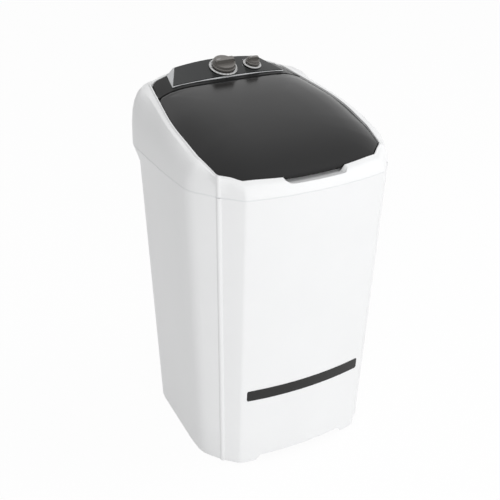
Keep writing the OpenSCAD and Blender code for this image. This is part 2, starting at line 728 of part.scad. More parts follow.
module motor_bolts() {
    color([0.8, 0.8, 0.82]) {
        translate([motor_place.x, motor_place.y, bracket_z + bracket_t]) four_round(grommet_ring_r) {
            cylinder(r = 5, h = 3.5, $fn = 6);
            translate([0, 0, -bracket_t - grommet_h - 8])
                cylinder(r = 2.8, h = bracket_t + grommet_h + 8.5);
        }
        for (p = pillar_places) translate([p.x, p.y, bracket_z]) {
            translate([0, 0, -4]) cylinder(r = 5, h = 4, $fn = 6);
            translate([0, 0, -0.5]) cylinder(r = 2.3, h = 16);
        }
    }
}

stator_t = 22;
rotor_gap = 2;
// End bell with vent slots; the bolt holes are in the top one
module end_bell(holes) {
    difference() {
        rotate_extrude($fn = 96)
            polygon([[0, 0], [motor_r - 8, 0], [motor_r, 6], [motor_r, bell_h], [0, bell_h]]);
        translate([0, 0, 4]) cylinder(r = motor_r - 5, h = bell_h, $fn = 96);
        translate([0, 0, -1]) cylinder(r = motor_shaft_r + run_fit, h = bell_h + 2);
        for (k = [0 : 11]) rotate(15 + k * 30) translate([motor_r - stator_t, -1.8, -1]) cube([12, 3.6, 6]);
        if (holes) translate([0, 0, -1]) four_round(grommet_ring_r) cylinder(r = 2.9, h = bell_h);
    }
    difference() {
        translate([0, 0, 1]) cylinder(r = 13, h = bell_h - 3);
        cylinder(r = motor_shaft_r + run_fit, h = bell_h + 2);
    }
}

module motor_top_bell() {
    color([0.72, 0.73, 0.75]) translate([motor_place.x, motor_place.y, motor_top_z])
        mirror([0, 0, 1]) end_bell(true);
}

module motor_bottom_bell() {
    color([0.72, 0.73, 0.75]) translate([motor_place.x, motor_place.y, motor_low_z]) end_bell(false);
}

module motor_body() {
    color([0.45, 0.46, 0.48]) translate([motor_place.x, motor_place.y, motor_low_z + bell_h]) difference() {
        union() {
            cylinder(r = motor_r, h = motor_len, $fn = 96);
            for (k = [0 : 7]) rotate(k * 45) translate([motor_r - 1, -4, 4]) cube([3.5, 8, motor_len - 8]);
        }
        translate([0, 0, -1]) cylinder(r = motor_r - stator_t, h = motor_len + 2, $fn = 96);
    }
}

rotor_r = motor_r - stator_t - rotor_gap;
module motor_shaft() {
    low = belt_z - pulley_h / 2 - 4;
    color([0.7, 0.7, 0.72]) translate([motor_place.x, motor_place.y, 0]) {
        translate([0, 0, low]) cylinder(r = motor_shaft_r, h = motor_top_z - 4 - low);
        translate([0, 0, motor_low_z + bell_h + 1]) cylinder(r = rotor_r, h = motor_len - 2);
    }
}

module motor_pulley() {
    color([0.35, 0.35, 0.37]) translate([motor_place.x, motor_place.y, belt_z])
        pulley(motor_pulley_r, motor_shaft_r + 0.02, 10, 0);
}

capacitor_h = 68;
module capacitor() {
    color([0.85, 0.86, 0.88]) translate([capacitor_place.x, capacitor_place.y, frame_z + frame_t]) {
        rotate_extrude() polygon([[0, 0], [capacitor_r, 0], [capacitor_r, capacitor_h - 3],
            [capacitor_r - 3, capacitor_h], [0, capacitor_h]]);
        for (s = [-1, 1]) translate([s * 7 - 0.5, -3, capacitor_h - 0.5]) cube([1, 6, 9]);
    }
}

module capacitor_clamp() {
    clamp_h = 14;
    color([0.7, 0.71, 0.73]) translate([capacitor_place.x, capacitor_place.y, frame_z + frame_t]) {
        translate([0, 0, 12]) tube(capacitor_r + 2, capacitor_r + 0.1, clamp_h);
        translate([capacitor_r + 1, -8, 0]) cube([2.5, 16, clamp_h + 12]);
        translate([capacitor_r + 1, -8, 0]) cube([16, 16, 2]);
    }
}

// Drain pipe: down from the sump, one bend, then back to the outlet
pipe_sides = 20;
pipe_in_r = (spigot_r + 0.1) / cos(180 / pipe_sides);
pipe_out_r = pipe_in_r + 2.6;
pipe_bend_r = 30;
outlet_mouth_y = rear_y;
cup_depth = spigot_len + 5;
cup_y = outlet_mouth_y - cup_depth;
stub_y = cup_y - 22;
module drain_pipe() {
    top = spout_z + 14;
    bend_top = drain_z + pipe_bend_r;
    path = concat([[sump_place.y, top, 0]],
        [for (k = [0 : 6]) let (a = k * 15)
            [sump_place.y + pipe_bend_r * (1 - cos(a)), bend_top - pipe_bend_r * sin(a), a]],
        [[cup_y - 1, drain_z, 90]]);
    function ring(p, r) = [for (k = [0 : pipe_sides - 1]) let (g = k * 360 / pipe_sides)
        [sump_place.x + r * cos(g), p.x + r * sin(g) * cos(p[2]), p.y + r * sin(g) * sin(p[2])]];
    outer = [for (p = path) ring(p, pipe_out_r)];
    inner = [for (p = reverse(path)) ring(p, pipe_in_r)];
    color([0.4, 0.41, 0.43]) loop_skin(concat(reverse(outer), reverse(inner)));
}

module hose_clamps() {
    band = 9;
    color([0.75, 0.75, 0.77]) {
        translate([sump_place.x, sump_place.y, spout_z + 3]) clamp_band(band);
        translate([sump_place.x, stub_y + 16, drain_z]) rotate([90, 0, 0]) clamp_band(band);
    }
}

module clamp_band(h) {
    tube(pipe_out_r + 1.4, pipe_out_r + 0.1, h);
    translate([pipe_out_r + 1, -4, 0]) cube([8, 8, h]);
}

cup_half = spigot_r + 16.5;
module drain_window() {
    translate([sump_place.x - cup_half - fit, rear_y - 20, drain_z - cup_half - fit])
        cube([2 * (cup_half + fit), 40, 2 * (cup_half + fit)]);
}

module drain_outlet() {
    color([0.3, 0.3, 0.32]) translate([sump_place.x, 0, drain_z]) {
        difference() {
            union() {
                translate([-cup_half, cup_y, -cup_half]) cube([2 * cup_half, cup_depth + 1, 2 * cup_half]);
                translate([-cup_half - 5, rear_y, -cup_half - 5])
                    cube([2 * cup_half + 10, 2.5, 2 * cup_half + 10]);
            }
            translate([-cup_half + 3, cup_y + 3, -cup_half + 3])
                cube([2 * cup_half - 6, cup_depth + 25, 2 * cup_half - 6]);
            translate([0, cup_y - 1, 0]) rotate([-90, 0, 0]) cylinder(r = spigot_r - 3, h = 10);
        }
        translate([0, stub_y, 0]) rotate([-90, 0, 0])
            tube(spigot_r, spigot_r - 3, cup_y + 3 - stub_y + spigot_len);
    }
}

gland_x = 60;
gland_neck_r = 9;
module cord_gland() {
    color([0.12, 0.12, 0.12]) translate([gland_x, rear_y, gland_z]) rotate([-90, 0, 0]) rotate_extrude()
        polygon([[gland_bore_r, -16], [gland_neck_r + 3, -16], [gland_neck_r + 3, -wall - 2.2],
            [gland_neck_r, -wall - 2.2], [gland_neck_r, 0], [gland_neck_r + 4, 0],
            [gland_neck_r + 4, 2], [gland_neck_r + 1, 6], [gland_bore_r, 6]]);
}

// One section of the cover, from the seam over the rim and ledge to the tub's mouth and back
shelf_z = rim_z(hinge_y) - 34;
cover_out = lip_outline(bead_h);
cover_base = lip_outline(0);
cover_rim = rim_line(rim_rear_y, 15);
mouth_line = round_mouth(opening_line, mouth_r);
mouth_back = round_mouth(opening_line, mouth_r + wall);
function fullness(p) =
    let (corner = ease((p.y - rim_rear_y + 70) / 50) * ease((abs(p.x) - 120) / 50))
    mix(mix(front_fullness, side_fullness, ease((p.y - rim_front_y - 20) / 160)), corner_fullness, corner);
function swell(u, q) = pow(1 - pow(1 - u, q), 1 / q);
function ledge_outer_z(i) = min(top_z(cover_rim[i].x, cover_rim[i].y) - recess_drop, shelf_z);
function ledge_inner_z(i) = min(rim_z(opening_line[i].y) - recess_drop, shelf_z);
function cover_section(i) =
    let (s = cover_out[i], base = cover_base[i], l = cover_rim[i], o = opening_line[i], q = fullness(l),
        dir = unit(l - base), w = norm(l - base), a = w - 7, zl = top_z(l.x, l.y), h = zl - 0.6 - seam_z,
        f = l.y < 0 ? ease((finger_half_w + 4 - abs(l.x)) / 16) : 0, zf = zl - finger_drop,
        za = ledge_outer_z(i), zo = ledge_inner_z(i),
        back = unit(o - [0, tub_y]) * wall, steps = [0, 15, 30, 45, 60, 75, 90],
        lip = rim_bead * (l.y < 0 ? ease((l.y - rim_front_y + 10) / 50) : 1))
    [[s, seam_z],
        each [for (k = [1 : 6])
            let (u = 1 - pow(cos(steps[k]), 2 / q), uf = [0, 0.06, 0.16, 0.3, 0.42, 0.5, 0.8][k],
                um = mix(u, uf, f), z = seam_z + h * swell(um, q) + norm(s - base) * um,
                low = min(seam_z + h * swell(uf, q), zf))
            [base + dir * a * um + (s - base) * (1 - um), k < 5 ? z : mix(z, low, f)]],
        [base + dir * mix(w - 5, a + 1, f), mix(zl + lip, zf - 0.5, f)],
        [base + dir * (w - 1.6), mix(zl + lip, zf - 0.5, f)],
        [base + dir * (w - 0.2), mix(zl - 1.5, zf - 0.5, f)],
        [l, min(za, mix(za, zf - 0.6, f))],
        [o, zo],
        [mouth_line[i], seam_z],
        [mouth_back[i], seam_z],
        [o + back, zo - wall],
        [l - dir * wall, min(za, mix(za, zf - 0.6, f)) - wall],
        [l - dir * wall, mix(zl - 3, zf - wall - 0.4, f)],
        each [for (k = [6, 5, 4, 3, 1])
            let (u = 1 - pow(cos(steps[k]), 2 / q), z = seam_z + (h - wall) * swell(u, q))
            [base + dir * (wall + (a - wall) * u), min(z, mix(z, zf - wall, f))]],
        [base + dir * wall, seam_z]];
module top_cover() {
    columns = [for (i = [0 : len(cover_out) - 1]) cover_section(i)];
    rings = [for (k = [0 : len(columns[0]) - 1]) [for (c = columns) [c[k][0].x, c[k][0].y, c[k][1]]]];
    color("white") loop_skin(rings);
}

// Rubber bumpers on the ledge: two behind the lid's front edge and one at each side
bumper_r = 4;
bumper_sink = 3;
function ledge_middle(i) =
    concat(mix(cover_rim[i], opening_line[i], 0.5), mix(ledge_outer_z(i), ledge_inner_z(i), 0.5));
function slope(a, b) = abs(b.z - a.z) / norm([b.x - a.x, b.y - a.y]);
function ledge_slope(i) =
    abs(ledge_outer_z(i) - ledge_inner_z(i)) / norm(cover_rim[i] - opening_line[i]);
module lid_bumpers() {
    color([0.15, 0.15, 0.15]) for (s = [-1, 1], column = [[bow_steps - 1, 0], [bow_steps + 17, 0.4]])
        let (i = column[0], a = ledge_middle(i), b = ledge_middle(i + 1), p = mix(a, b, column[1]),
            low = p.z + bumper_r * (slope(a, b) + ledge_slope(i)) + fit,
            high = lid_z(p.x + bumper_r, p.y - bumper_r) - lid_t - bumper_sink)
            translate([s * p.x, p.y, low]) cylinder(r = bumper_r, h = high - low, $fn = 24);
}

// Lid: a pillow-shaped shell with a rolled edge
lid_line = inset(rim_line(lid_rear_y, 14), lid_gap);
roll = 6;
module lid() {
    centre = [0, (rim_front_y + lid_rear_y) / 2];
    function on_top(pts, drop) = [for (p = pts) [p.x, p.y, lid_z(p.x, p.y) - drop]];
    function shrunk(d, k) = [for (p = inset(lid_line, d)) centre + (p - centre) * k];
    shares = [0.45, 0.7, 0.85, 0.93];
    below = [each [for (k = shares) on_top(shrunk(6, k), lid_t)], on_top(inset(lid_line, 9), lid_t),
        on_top(inset(lid_line, 5.5), lid_t + 0.4), on_top(inset(lid_line, 2.4), roll)];
    above = [on_top(lid_line, roll), on_top(inset(lid_line, 0.3), 2), on_top(inset(lid_line, 1.2), 0.5),
        on_top(inset(lid_line, 3.5), 0), on_top(inset(lid_line, 10), 0),
        each [for (k = reverse(shares)) on_top(shrunk(5, k), 0)]];
    color([0.28, 0.28, 0.29, 0.9]) skin(concat(below, above), [0, centre.y, lid_z(0, centre.y) - lid_t],
        [0, centre.y, lid_z(0, centre.y)]);
}

// Hinge: lugs under the lid, pins, and brackets that stand on the cover's shelf
lug_w = 12;
lug_r = hinge_pin_r + 2;
bracket_gap = 0.4;
bracket_in = hinge_x + lug_w / 2 + bracket_gap;
bracket_w = 6;
bracket_r = hinge_pin_r + 2.2;
bracket_out = bracket_in + bracket_w;
knuckle_gap = 0.8;
open_lid_gap = 1;
hinge_z = lid_z(bracket_out + 1, hinge_y) - lid_t - bracket_r - knuckle_gap;
module hinge_lug(s) {
    function under(d) = [d, lid_z(hinge_x + lug_w / 2, hinge_y + d) - lid_t - fit - hinge_z];
    color([0.25, 0.25, 0.26]) translate([s * hinge_x, hinge_y, hinge_z]) rotate([90, 0, 90]) difference() {
        translate([0, 0, -lug_w / 2]) {
            cylinder(r = lug_r, h = lug_w);
            linear_extrude(lug_w) polygon([[-lug_r, 0], [lug_r, 0], under(lug_r + 1), under(-lug_r - 4)]);
        }
        cylinder(r = hinge_pin_r + 0.02, h = 2 * lug_w, center = true);
    }
}

module hinge_pin(s) {
    inner = hinge_x - lug_w / 2;
    outer = bracket_out + 1;
    color([0.8, 0.8, 0.82]) translate([s * (inner + outer) / 2, hinge_y, hinge_z]) rotate([0, 90, 0])
        cylinder(r = hinge_pin_r, h = outer - inner, center = true);
}

module hinge_bracket(s) {
    drop = hinge_z - shelf_z - 0.2;
    edge_low = lid_z(bracket_out, lid_rear_y) - roll - hinge_z;
    back = edge_low * sin(lid_swing) + hinge_in * cos(lid_swing) - open_lid_gap;
    color([0.9, 0.9, 0.9]) translate([s * (bracket_in + bracket_w / 2), hinge_y, hinge_z]) difference() {
        union() {
            rotate([0, 90, 0]) cylinder(r = bracket_r, h = bracket_w, center = true);
            translate([-bracket_w / 2, -bracket_r, -drop]) cube([bracket_w, bracket_r + back, drop]);
            translate([-bracket_w / 2, -14, -drop]) cube([bracket_w + 8, 28, 3]);
        }
        rotate([0, 90, 0]) cylinder(r = hinge_pin_r + run_fit, h = 40, center = true);
    }
}

// Rear deck: a hollow box with the same pillow shape, behind the lid
deck_half = rim_half - rim_taper * (deck_front_y - 10) - lid_gap - 0.4;
deck_rear_half = rim_rear_half - lid_gap - 0.4;
deck_rear_y = rim_rear_y - lid_gap - 0.4;
module deck_block(e, floor_z) {
    corner_r = 17;
    ends = [for (k = [0 : 4]) k * 22.5];
    reach = deck_rear_half - e;
    shares = concat([for (k = [0 : 8]) k / 8 * (reach - corner_r)],
        [for (g = ends) reach - corner_r + corner_r * sin(g)]);
    stations = concat([for (k = [len(shares) - 1 : -1 : 1]) -shares[k]], shares);
    function rear_of(x) = let (over = max(0, abs(x) - reach + corner_r))
        deck_rear_y - e - corner_r + sqrt(max(0, corner_r * corner_r - over * over));
    function deck_point(x, y, drop) = [x, y, deck_z(x, y) - drop - e];
    skin([for (x = reverse(stations))
        let (xf = x * (deck_half - e) / reach, yf = deck_front_y + e, yr = rear_of(x))
        [[xf, yf, floor_z], deck_point(xf, yf, 2), each [for (d = [1.5, 4, 9]) deck_point(xf, yf + d, 0)],
            each [for (k = [0.4, 0.7]) deck_point(mix(xf, x, k), mix(yf, yr, k), 0)],
            deck_point(x, yr - 2, 0.5), deck_point(x, yr, 3), [x, yr, floor_z]]]);
}

module rear_deck() {
    color([0.25, 0.25, 0.26]) difference() {
        deck_block(0, shelf_z + 0.2);
        deck_block(wall, shelf_z - 10);
        at_timer() cylinder(r = timer_body_r + 2, h = 90, center = true);
        at_selector() cylinder(r = switch_r + 2, h = 90, center = true);
    }
}

// Console: sloping ruled face between an arched front line and a more arched rear line
deck_strip = 11.9;
console_front_y = deck_front_y + deck_strip;
console_rear_y = console_front_y + console_d;
console_half = console_w / 2;
console_top_half = console_top_w / 2;
console_back_half = console_top_half + 22;
front_sag = 6;
rear_sag = 10;
console_front_z = rim_z(console_front_y) + console_lift;
face_tilt = atan2(console_rise, console_d);
function console_front(s) = [console_half * s, console_front_y, console_front_z - front_sag * s * s];
function console_rear(s) =
    [console_top_half * s, console_rear_y, console_front_z + console_rise - rear_sag * s * s];
function face_at(s, v, drop) =
    let (p = mix(console_front(s), console_rear(s), v)) p - [0, -sin(face_tilt), cos(face_tilt)] * drop;
function deck_at(s, y, x_half, e) = [x_half * s, y, deck_z(x_half * s, y) + e];

console_steps = 13;
base_drop = 1.2;
module console_block(drop, side, low) {
    reach = 1 - side / console_top_half;
    skin([for (k = [0 : console_steps]) let (s = reach * (1 - 2 * k / console_steps),
            front = face_at(s, side / console_d, drop), rear = face_at(s, 1, drop),
            foot = deck_at(s, console_front_y + side + 1, console_half, low),
            back = deck_at(s, console_rear_y - 8 - side, console_back_half, low))
        [foot, front, face_at(s, 0.5, drop), [rear.x, rear.y - side, rear.z], back]]);
}

module console_base() {
    color([0.85, 0.85, 0.86]) difference() {
        console_block(base_drop, 0, 0.8);
        console_block(base_drop + 2.5, 4, -20);
        at_timer() cylinder(r = timer_neck_r + fit, h = 60, center = true);
        at_selector() cylinder(r = switch_neck_r + fit, h = 60, center = true);
    }
}

// Dark panel on the face, a little smaller so that a light border shows round it
border = 2.6;
panel_low = base_drop - 0.2;
panel_high = panel_low - fascia_t;
module under_face(drop) {
    skin([for (k = [0 : console_steps])
        let (s = 1 - 2 * k / console_steps, front = face_at(s, 0, drop), rear = face_at(s, 1, drop))
        [[front.x, front.y, shelf_z], front, face_at(s, 0.5, drop), rear, [rear.x, rear.y, shelf_z]]]);
}

module console_fascia() {
    y0 = console_front_y + border;
    y1 = console_rear_y - border;
    x0 = console_half - border;
    x1 = console_top_half - border;
    color([0.27, 0.28, 0.29]) difference() {
        intersection() {
            under_face(panel_high);
            translate([0, 0, shelf_z - 1]) linear_extrude(200)
                polygon([[-x0, y0], [x0, y0], [x1, y1], [-x1, y1]]);
        }
        under_face(panel_low);
        at_timer() cylinder(r = timer_neck_r + fit, h = 60, center = true);
        at_selector() cylinder(r = switch_neck_r + fit, h = 60, center = true);
    }
}

// Knob axes stand square to the face
knob_v = 0.45;
timer_neck_r = 9;
timer_body_r = 26;
switch_neck_r = 8;
switch_r = 16;
knob_half = mix(console_half, console_top_half, knob_v);
knob_sag = mix(front_sag, rear_sag, knob_v);
face_top = 0.4 - panel_high;
selector_lean = atan(2 * knob_sag * selector_x / (knob_half * knob_half));
selector_tilt = atan2(console_rise + front_sag * pow(selector_x / console_half, 2)
    - rear_sag * pow(selector_x / console_top_half, 2), console_d);
module at_timer() {
    translate(face_at(0, knob_v, -face_top)) rotate([face_tilt, 0, 0]) children();
}
module at_selector() {
    translate(face_at(selector_x / knob_half, knob_v, -face_top))
        rotate([selector_tilt, 0, 0]) rotate([0, selector_lean, 0]) children();
}

bezel_h = 5;
knob_lift = 1;
module bezel(r, knob_r, hole_r) {
    difference() {
        rotate_extrude($fn = 96) polygon([[0, 0], [r - 1, 0], [r, 1], [r, 2.5], [r - 2.5, bezel_h],
            [knob_r + 2, bezel_h], [knob_r + 1, bezel_h - 1.5], [0, bezel_h - 1.5]]);
        translate([0, 0, -10]) cylinder(r = hole_r, h = 30);
    }
}

module timer_bezel() {
    color([0.75, 0.75, 0.76]) at_timer() bezel(timer_ring_r, timer_r, timer_stem_r + 1);
}

module selector_bezel() {
    color([0.75, 0.75, 0.76]) at_selector() bezel(selector_ring_r, selector_r, selector_stem_r + 1);
}

// Fluted knob with a raised grip bar and a stem that turns in the switch below
module knob(r, h, stem_r, stem_len, flutes) {
    skirt_h = h * 0.55;
    grip_w = r * 0.44;
    difference() {
        rotate_extrude($fn = 96)
            polygon([[0, 0], [r, 0], [r, 4], [r - 1, 5], [r - 2, skirt_h], [0, skirt_h]]);
        for (k = [0 : flutes - 1]) rotate(k * 360 / flutes)
            translate([r + 1.2, 0, 5.8]) cylinder(r = 3, h = h);
    }
    intersection() {
        rotate_extrude($fn = 96) polygon([[0, 1], [r - 2.6, 1], [r - 3.4, h - 3], [r - 5.5, h], [0, h]]);
        translate([-r, -grip_w / 2, 0]) cube([2 * r, grip_w, h + 1]);
    }
    translate([0, 0, -stem_len]) cylinder(r = stem_r, h = stem_len + 1);
}

timer_stem_r = 4;
timer_stem_len = 24;
module timer_knob() {
    color([0.45, 0.44, 0.43]) at_timer() translate([0, 0, bezel_h + knob_lift])
        knob(timer_r, timer_h, timer_stem_r, timer_stem_len, 24);
}

selector_stem_r = 3.5;
selector_stem_len = 22;
module selector_knob() {
    color([0.45, 0.44, 0.43]) at_selector() translate([0, 0, bezel_h + knob_lift])
        knob(selector_r, selector_h, selector_stem_r, selector_stem_len, 18);
}

// Switch body under the face, with a bushed neck that the knob's stem turns in
module switch_body(r, neck_r, stem_r, depth, neck_top) {
    under = -face_top - base_drop - 3.4;
    difference() {
        union() {
            translate([0, 0, under - depth]) cylinder(r = r, h = depth);
            translate([0, 0, under - 1]) cylinder(r = neck_r, h = neck_top - under + 1);
        }
        translate([0, 0, under - 15]) cylinder(r = stem_r + run_fit, h = 60);
    }
}

module timer_body() {
    color([0.9, 0.9, 0.88]) at_timer() switch_body(timer_body_r, timer_neck_r, timer_stem_r, 26, -0.6);
}

module selector_switch() {
    color([0.9, 0.9, 0.88]) at_selector() switch_body(switch_r, switch_neck_r, selector_stem_r, 22, -0.6);
}

cabinet();
front_strip();
base_frame();
foot(foot_places[0]);  // foot_front_left
foot(foot_places[1]);  // foot_front_right
foot(foot_places[2]);  // foot_rear_left
foot(foot_places[3]);  // foot_rear_right
wash_tub();
drain_strainer();
lint_filter();
pulsator();
pulsator_cap();
drive_shaft();
shaft_seal();
bush(tub_under_z - 12 - bush_h);  // upper_bush
bush(housing_low_z + 0.5);  // lower_bush
bearing_housing();
housing_screws();
driven_pulley();
pulley_nut();
drive_belt();
motor_bracket();
motor_grommets();
motor_bolts();
motor_top_bell();
motor_body();
motor_bottom_bell();
motor_shaft();
motor_pulley();
capacitor();
capacitor_clamp();
drain_pipe();
hose_clamps();
drain_outlet();
cord_gland();
top_cover();
lid_bumpers();
lid();
hinge_lug(-1);  // hinge_lug_left
hinge_lug(1);  // hinge_lug_right
hinge_pin(-1);  // hinge_pin_left
hinge_pin(1);  // hinge_pin_right
hinge_bracket(-1);  // hinge_bracket_left
hinge_bracket(1);  // hinge_bracket_right
rear_deck();
console_base();
console_fascia();
timer_bezel();
timer_knob();
timer_body();
selector_bezel();
selector_knob();
selector_switch();
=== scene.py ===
import json
import math

import bmesh
import bpy
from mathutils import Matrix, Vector
from mathutils.bvhtree import BVHTree


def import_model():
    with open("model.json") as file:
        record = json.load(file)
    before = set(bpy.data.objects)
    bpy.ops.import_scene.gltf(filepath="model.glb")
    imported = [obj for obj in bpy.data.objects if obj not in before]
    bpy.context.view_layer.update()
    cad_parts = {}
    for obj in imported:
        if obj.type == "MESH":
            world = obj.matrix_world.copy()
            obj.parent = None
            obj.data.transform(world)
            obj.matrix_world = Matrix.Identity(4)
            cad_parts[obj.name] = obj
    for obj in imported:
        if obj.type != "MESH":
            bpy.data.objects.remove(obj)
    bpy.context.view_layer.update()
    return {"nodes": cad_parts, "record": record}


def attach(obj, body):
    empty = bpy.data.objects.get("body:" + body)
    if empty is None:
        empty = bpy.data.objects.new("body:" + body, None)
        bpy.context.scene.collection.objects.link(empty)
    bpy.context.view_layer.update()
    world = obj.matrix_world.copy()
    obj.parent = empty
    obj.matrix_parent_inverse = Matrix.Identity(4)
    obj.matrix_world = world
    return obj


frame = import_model()
nodes = frame["nodes"]
scene = bpy.context.scene

# Camera, in metres and degrees: the photograph's viewing angle
camera_azimuth = -28.87
camera_elevation = 26.03
camera_distance = 2.46032
camera_target = Vector((-0.01484, 0.028, 0.47384))
camera_lens = 68.42

# Light: the world's share on surfaces, the floor's own glow, and each lamp's place and
# target in metres, its side in metres and its power in watts
ambient = 0.525
backdrop_share = 0.96
lamps = {
    "front_lamp": ((-0.9, -4.4, 1.6), (0, 0, 0.45), 1.6, 73.0),
    "top_lamp": ((2.2, -0.9, 3.6), (0, 0, 0.6), 2.2, 56.0),
}
floor_grey = 0.9
floor_half = 14

# Colours, linear
white = (0.86, 0.865, 0.87)
tub_white = (0.80, 0.81, 0.82)
smoke = (0.0055, 0.0055, 0.0058)
deck_dark = (0.006, 0.006, 0.0062)
panel_dark = (0.012, 0.0135, 0.014)
strip_dark = (0.0105, 0.0103, 0.01)
silver = (0.55, 0.55, 0.55)
print_white = (0.6, 0.61, 0.62)
print_dark = (0.05, 0.05, 0.055)

# Where a colour ramp starts and ends
ramp_start, ramp_end = 0.35, 0.65

# Smooth shading of the moulded skins: metres and degrees
weld_distance = 0.00001
crease_angle = 28

# Printed marks, in metres: how far they stand proud, how deep they go, the height they are cast from
print_proud = 0.00012
print_depth = 0.0002
cast_height = 0.06

# Dial scales: radii and widths in millimetres, angles in degrees anticlockwise from the right
zero_angle = 180
timer_ring = (34.9, 36.6)
timer_tick_step = 15
timer_tick_count = 23
major_tick, minor_tick = 1.4, 0.7
timer_line = (13, 23.5, 1.3)
selector_stops = (180, 120, 60)
selector_tick = (21.9, 23.6, 1.1)
selector_dot = (28, 1.1)
selector_line = (5, 11.5, 1.1)


def camera():
    a, e = math.radians(camera_azimuth), math.radians(camera_elevation)
    back = Vector((math.sin(a) * math.cos(e), -math.cos(a) * math.cos(e), math.sin(e)))
    data = bpy.data.cameras.new("camera")
    data.lens = camera_lens
    data.sensor_width = 36
    data.clip_start = 0.05
    data.clip_end = 60
    obj = bpy.data.objects.new("camera", data)
    scene.collection.objects.link(obj)
    obj.location = camera_target + back * camera_distance
    obj.rotation_euler = (-back).to_track_quat("-Z", "Y").to_euler()
    scene.camera = obj


# Node helpers
def new_material(name):
    mat = bpy.data.materials.new(name)
    mat.use_nodes = True
    tree = mat.node_tree
    return mat, tree, tree.nodes["Principled BSDF"]


def add(tree, kind, **values):
    node = tree.nodes.new(kind)
    for key, value in values.items():
        setattr(node, key, value)
    return node


def noise(tree, scale, detail=3.0, stretch=(1, 1, 1)):
    coords = add(tree, "ShaderNodeTexCoord")
    mapping = add(tree, "ShaderNodeMapping")
    mapping.inputs["Scale"].default_value = stretch
    tree.links.new(coords.outputs["Object"], mapping.inputs["Vector"])
    texture = add(tree, "ShaderNodeTexNoise")
    texture.inputs["Scale"].default_value = scale
    texture.inputs["Detail"].default_value = detail
    tree.links.new(mapping.outputs["Vector"], texture.inputs["Vector"])
    return texture.outputs["Fac"]


def ramp(tree, source, low, high):
    node = add(tree, "ShaderNodeValToRGB")
    node.color_ramp.elements[0].position = ramp_start
    node.color_ramp.elements[1].position = ramp_end
    node.color_ramp.elements[0].color = (*low, 1)
    node.color_ramp.elements[1].color = (*high, 1)
    tree.links.new(source, node.inputs["Fac"])
    return node.outputs["Color"]


def span(tree, source, low, high):
    node = add(tree, "ShaderNodeMapRange")
    node.inputs["To Min"].default_value = low
    node.inputs["To Max"].default_value = high
    tree.links.new(source, node.inputs["Value"])
    return node.outputs["Result"]


def bump(tree, shader, source, height):
    node = add(tree, "ShaderNodeBump")
    node.inputs["Strength"].default_value = 1
    node.inputs["Distance"].default_value = height
    tree.links.new(source, node.inputs["Height"])
    tree.links.new(node.outputs["Normal"], shader.inputs["Normal"])


def shade(colour, k):
    return tuple(c * k for c in colour)


def moulded(name, colour, roughness, grain=900.0, height=0.00004,
            gloss=0.5, vary=0.03, metallic=0.0):
    """Moulded or cast surface: slow drift of colour and roughness, fine grain in the bump."""
    mat, tree, shader = new_material(name)
    drift = noise(tree, 6.0)
    fine = noise(tree, grain, 2.0)
    tree.links.new(ramp(tree, drift, shade(colour, 1 - vary), colour), shader.inputs["Base Color"])
    tree.links.new(span(tree, drift, roughness * 0.85, roughness * 1.15), shader.inputs["Roughness"])
    bump(tree, shader, fine, height)
    shader.inputs["Metallic"].default_value = metallic
    shader.inputs["Specular IOR Level"].default_value = gloss
    return mat


def brushed(name, colour, roughness, stretch):
    """Drawn or turned metal with fine lines along one direction."""
    mat, tree, shader = new_material(name)
    lines = noise(tree, 60.0, 4.0, stretch)
    tree.links.new(ramp(tree, lines, shade(colour, 0.8), colour), shader.inputs["Base Color"])
    tree.links.new(span(tree, lines, roughness * 0.7, roughness * 1.3), shader.inputs["Roughness"])
    bump(tree, shader, lines, 0.00002)
    shader.inputs["Metallic"].default_value = 1
    return mat


materials = {
    "white_shell": moulded("white_shell", white, 0.34, 700, 0.00003, vary=0.015),
    "white_tub": moulded("white_tub", tub_white, 0.4),
    "smoked_lid": moulded("smoked_lid", smoke, 0.22, 500, 0.00001, gloss=0.34, vary=0.1),
    "dark_deck": moulded("dark_deck", deck_dark, 0.28, 900, 0.00002, gloss=0.145, vary=0.1),
    "dark_panel": moulded("dark_panel", panel_dark, 0.25, 600, 0.00001, gloss=0.36, vary=0.1),
    "dark_strip": moulded("dark_strip", strip_dark, 0.2, 600, 0.00001, gloss=0.38, vary=0.1),
    "console_light": moulded("console_light", (0.62, 0.63, 0.64), 0.35),
    "bezel_silver": brushed("bezel_silver", silver, 0.3, (8, 1, 1)),
    "knob_grey": moulded("knob_grey", (0.2, 0.19, 0.18), 0.38, metallic=0.6),
    "switch_case": moulded("switch_case", (0.7, 0.69, 0.64), 0.5),
    "black_rubber": moulded("black_rubber", (0.02, 0.02, 0.02), 0.75, 400, 0.0001, vary=0.2),
    "galvanised": moulded("galvanised", (0.55, 0.56, 0.57), 0.42, 60, 0.00002,
                          vary=0.25, metallic=1.0),
    "bright_steel": brushed("bright_steel", (0.62, 0.62, 0.63), 0.22, (1, 1, 12)),
    "cast_alloy": moulded("cast_alloy", (0.5, 0.51, 0.52), 0.5, 350, 0.0001, vary=0.12, metallic=1.0),
    "bronze": moulded("bronze", (0.42, 0.27, 0.13), 0.4, 500, 0.00005, vary=0.15, metallic=1.0),
    "dark_casting": moulded("dark_casting", (0.05, 0.05, 0.055), 0.5, 300, 0.0001, vary=0.15),
    "motor_steel": brushed("motor_steel", (0.25, 0.26, 0.27), 0.45, (1, 1, 40)),
    "blue_plastic": moulded("blue_plastic", (0.05, 0.13, 0.28), 0.35),
    "filter_mesh": moulded("filter_mesh", (0.25, 0.42, 0.55), 0.45),
    "grey_hose": moulded("grey_hose", (0.09, 0.095, 0.1), 0.6, 300, 0.0001),
    "grey_plastic": moulded("grey_plastic", (0.2, 0.21, 0.22), 0.5, 500, 0.00008),
    "print_white": moulded("print_white", print_white, 0.45, 1500, 0.00001, vary=0.06),
    "print_dark": moulded("print_dark", print_dark, 0.5, 1500, 0.00001, vary=0.1),
}


